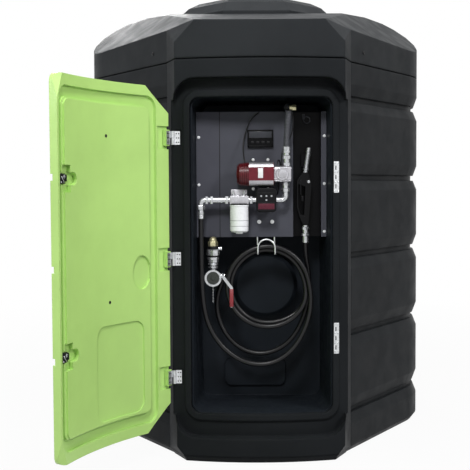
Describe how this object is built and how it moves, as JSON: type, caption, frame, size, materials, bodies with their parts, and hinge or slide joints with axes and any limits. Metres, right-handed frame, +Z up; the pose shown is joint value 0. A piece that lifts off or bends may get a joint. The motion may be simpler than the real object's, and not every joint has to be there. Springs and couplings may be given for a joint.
{
  "type": "diesel tank",
  "caption": "Black moulded diesel tank with ribbed walls, a green hinged door and a dispensing cabinet with pump, meter, filter, coiled hose and nozzle.",
  "frame": {"origin": "middle of the tank's footprint, on the floor it stands on", "axes": "+Z up, the door side faces -Y, +X to the right seen from the front"},
  "size_m": [1.85, 3.0265, 2.375],
  "materials": {
    "body_plastic": "fine moulded grain, satin",
    "door_plastic": "fine moulded grain, satin",
    "galvanised": "galvanised steel",
    "black_trim": "satin black",
    "panel_sheet": "powder-coated steel sheet",
    "pump_red": "painted casting",
    "pump_silver": "cast aluminium",
    "pipe_silver": "plated steel fittings",
    "brass": "plain brass",
    "meter_black": "black meter housing",
    "filter_white": "gloss white paint",
    "display_black": "display housing",
    "lever_red": "steel lever with a red sleeve",
    "hose_rubber": "smooth black hose",
    "nozzle_black": "black nozzle cover"
  },
  "bodies": {
    "tank": {"base_tray": "body_plastic", "front_wall": "body_plastic", "right_wall": "body_plastic", "left_wall": "body_plastic", "back_wall": "body_plastic", "cabinet_liner": "body_plastic", "top_cap": "body_plastic", "inspection_lid": "body_plastic", "hinge_frame_leaves": "galvanised", "strike_plates": "galvanised", "panel_left": "panel_sheet", "panel_main": "panel_sheet", "panel_right": "panel_sheet", "nozzle_bay": "black_trim", "pump_body": "pump_red", "pump_cap": "pump_red", "pump_head": "pump_silver", "pump_bracket": "black_trim", "suction_pipe": "pipe_silver", "suction_union": "pipe_silver", "outlet_pipe": "pipe_silver", "flow_meter": "meter_black", "meter_dial": "meter_black", "meter_bracket": "black_trim", "filter_head": "pipe_silver", "filter_canister": "filter_white", "meter_nipple": "pipe_silver", "delivery_pipe": "pipe_silver", "level_display": "display_black", "fill_pipe": "pipe_silver", "fill_cap": "pipe_silver", "hose_hook": "galvanised", "hose_in": "hose_rubber", "hose_out": "hose_rubber", "hose_coil": "hose_rubber", "nozzle_body": "nozzle_black", "nozzle_spout": "pipe_silver", "nozzle_swivel": "pipe_silver", "nozzle_holder": "black_trim"},
    "door": {"door": "door_plastic", "door_latches": "black_trim", "hinge_door_leaves": "galvanised"},
    "valve_lever": {"valve_lever": "lever_red"}
  },
  "joints": [
    {"name": "door_hinge", "type": "hinge", "parent": "tank", "child": "door", "pos_m": [-0.418, -1.116, 0.974], "axis": [0, 0, 1], "range_deg": [-10, 121]},
    {"name": "valve_lever_turn", "type": "hinge", "parent": "tank", "child": "valve_lever", "pos_m": [-0.182, -1.071, 0.884], "axis": [0, -1, 0], "range_deg": [0, 90]}
  ]
}
